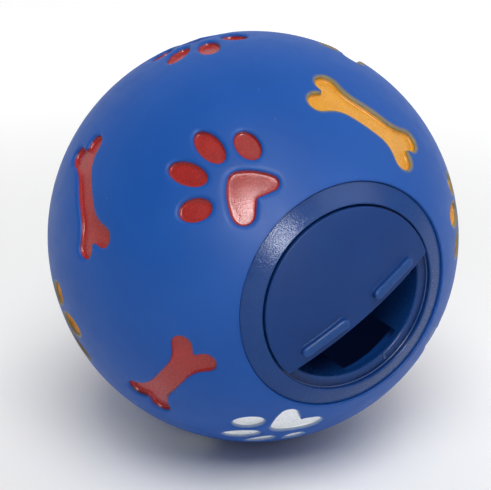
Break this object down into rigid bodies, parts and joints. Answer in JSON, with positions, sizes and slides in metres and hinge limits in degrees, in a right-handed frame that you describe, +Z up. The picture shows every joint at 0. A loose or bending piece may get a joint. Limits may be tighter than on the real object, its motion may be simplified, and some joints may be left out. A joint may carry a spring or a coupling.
{
  "type": "treat ball",
  "caption": "Hollow soft ball with sunk painted paw prints and bones, a hard collar snapped into its port, and a domed half-moon shutter that turns to set how fast treats fall out.",
  "frame": {"origin": "centre of the ball", "axes": "-Y out of the mouth, along the axis of the collar and shutter; +Z up; +X to the right, seen from the front"},
  "size_m": [0.11, 0.1084, 0.11],
  "materials": {
    "soft_vinyl": "satin",
    "collar_plastic": "fine spark-eroded texture",
    "shutter_plastic": "satin",
    "red_paint": "sprayed paint, satin",
    "yellow_paint": "sprayed paint, satin",
    "white_paint": "sprayed paint, satin"
  },
  "bodies": {
    "ball": {"ball_shell": "soft_vinyl", "collar": "collar_plastic", "front_paw_paint": "red_paint", "top_bone_paint": "yellow_paint", "right_paw_paint": "yellow_paint", "lower_right_bone_paint": "white_paint", "under_paw_paint": "white_paint", "lower_left_bone_paint": "red_paint", "crown_paw_paint": "red_paint", "right_upper_bone_paint": "yellow_paint", "right_back_paw_paint": "white_paint", "right_lower_bone_paint": "red_paint", "keel_paw_paint": "yellow_paint", "left_lower_bone_paint": "white_paint", "left_paw_paint": "yellow_paint", "left_bone_paint": "red_paint", "back_upper_bone_paint": "white_paint", "back_right_paw_paint": "red_paint", "back_lower_bone_paint": "yellow_paint", "back_left_bone_paint": "red_paint", "back_paw_paint": "yellow_paint"},
    "shutter": {"shutter": "shutter_plastic"}
  },
  "joints": [
    {"name": "shutter_turn", "type": "hinge", "parent": "ball", "child": "shutter", "pos_m": [0, -0.0482, 0], "axis": [0, -1, 0], "range_deg": [-180, 180]}
  ]
}
